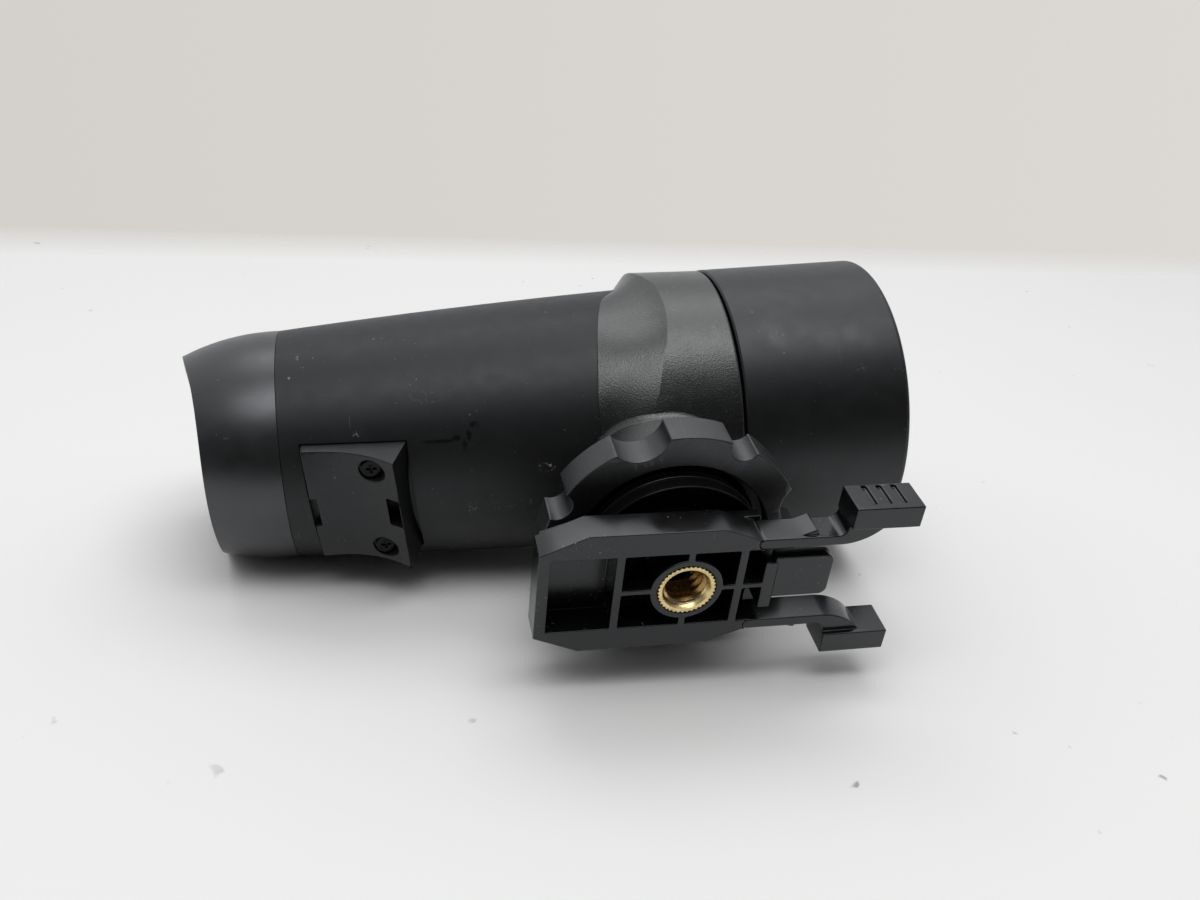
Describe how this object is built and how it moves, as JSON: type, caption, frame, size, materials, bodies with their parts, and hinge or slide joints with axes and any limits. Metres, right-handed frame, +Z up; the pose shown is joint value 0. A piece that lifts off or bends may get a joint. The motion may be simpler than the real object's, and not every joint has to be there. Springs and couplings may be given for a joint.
{
  "type": "finder scope",
  "caption": "Compact black sighting scope lying on its side, with a swivelling rail shoe locked by a lobed ring and a brass tripod thread in the shoe.",
  "frame": {"origin": "centre of the mouth of the tripod thread, in the face of the shoe", "axes": "+X along the tube towards the objective, -Y the way the shoe faces, +Z up as the scope lies on its side"},
  "size_m": [0.106, 0.0656, 0.0452],
  "materials": {
    "body_shell": "soft-touch matt black coating, faint scuffs and dust",
    "wedge_plate": "matt black moulded plastic, a shade lighter than the tube",
    "black_steel": "blackened steel screws",
    "collar": "fine-textured satin black, faint sparkle",
    "lock_ring": "satin black anodised, fine grain",
    "swivel_hub": "satin black, turned",
    "thrust_washer": "natural acetal",
    "shoe": "moulded black plastic, satin edges, dusty",
    "brass": "machined brass with a knurled rim",
    "focus_ring": "matt black, smooth",
    "black_aluminium": "black anodised aluminium",
    "lens_glass": "coated optical glass",
    "plain_steel": "plain steel pin",
    "baffle_black": "flat black light baffle",
    "seal_rubber": "black rubber ring",
    "rear_hood": "smooth satin black"
  },
  "bodies": {
    "housing": {"body_shell": "body_shell", "wedge_plate": "wedge_plate", "wedge_plate_screws": "black_steel", "collar": "collar", "pivot_washer": "thrust_washer", "focus_barrel": "black_aluminium", "ring_retainer": "black_aluminium", "baffle_front": "baffle_black", "baffle_rear": "baffle_black", "eyepiece_barrel": "black_aluminium", "reticle_glass": "lens_glass", "reticle_ring": "black_aluminium", "field_lens": "lens_glass", "eyepiece_spacer": "black_aluminium", "eye_lens": "lens_glass", "eye_retaining_ring": "black_aluminium", "hood_o_ring": "seal_rubber", "hood_retainer": "black_aluminium"},
    "eye_hood": {"rear_hood": "rear_hood"},
    "focus_ring": {"focus_ring": "focus_ring"},
    "objective": {"objective_cell": "black_aluminium", "objective_crown": "lens_glass", "objective_flint": "lens_glass", "objective_retaining_ring": "black_aluminium", "drive_pin": "plain_steel"},
    "lock_ring": {"lock_ring": "lock_ring"},
    "shoe": {"shoe_tray": "shoe", "tripod_insert": "brass", "swivel_hub": "swivel_hub", "hub_screws": "black_steel", "pivot_screw": "black_steel"},
    "arm_upper": {"release_arm_upper": "shoe"},
    "arm_lower": {"release_arm_lower": "shoe"}
  },
  "joints": [
    {"name": "hood_turn", "type": "hinge", "parent": "housing", "child": "eye_hood", "pos_m": [-0.0565, 0.0422, 0], "axis": [1, 0, 0], "continuous": true},
    {"name": "focus_turn", "type": "hinge", "parent": "housing", "child": "focus_ring", "pos_m": [0.0268, 0.0422, 0], "axis": [1, 0, 0], "range_deg": [-120, 120]},
    {"name": "objective_slide", "type": "slide", "parent": "housing", "child": "objective", "axis": [1, 0, 0], "range_m": [-0.001, 0.001]},
    {"name": "lock_ring_turn", "type": "hinge", "parent": "housing", "child": "lock_ring", "pos_m": [0, 0.0109, 0], "axis": [0, -1, 0], "range_deg": [0, 180]},
    {"name": "shoe_swivel", "type": "hinge", "parent": "housing", "child": "shoe", "pos_m": [0, 0, 0], "axis": [0, -1, 0], "continuous": true},
    {"name": "arm_upper_squeeze", "type": "hinge", "parent": "shoe", "child": "arm_upper", "pos_m": [0.01003, 0.0022, 0.00632], "axis": [0, 1, 0], "range_deg": [0, 5], "stiffness_Nm_per_rad": 0.8},
    {"name": "arm_lower_squeeze", "type": "hinge", "parent": "shoe", "child": "arm_lower", "pos_m": [0.00913, 0.0022, -0.00756], "axis": [0, -1, 0], "range_deg": [0, 5], "stiffness_Nm_per_rad": 0.8}
  ],
  "couplings": [
    {"joint": "objective_slide", "follows": "focus_turn", "m_per_rad": 0.0004775}
  ]
}
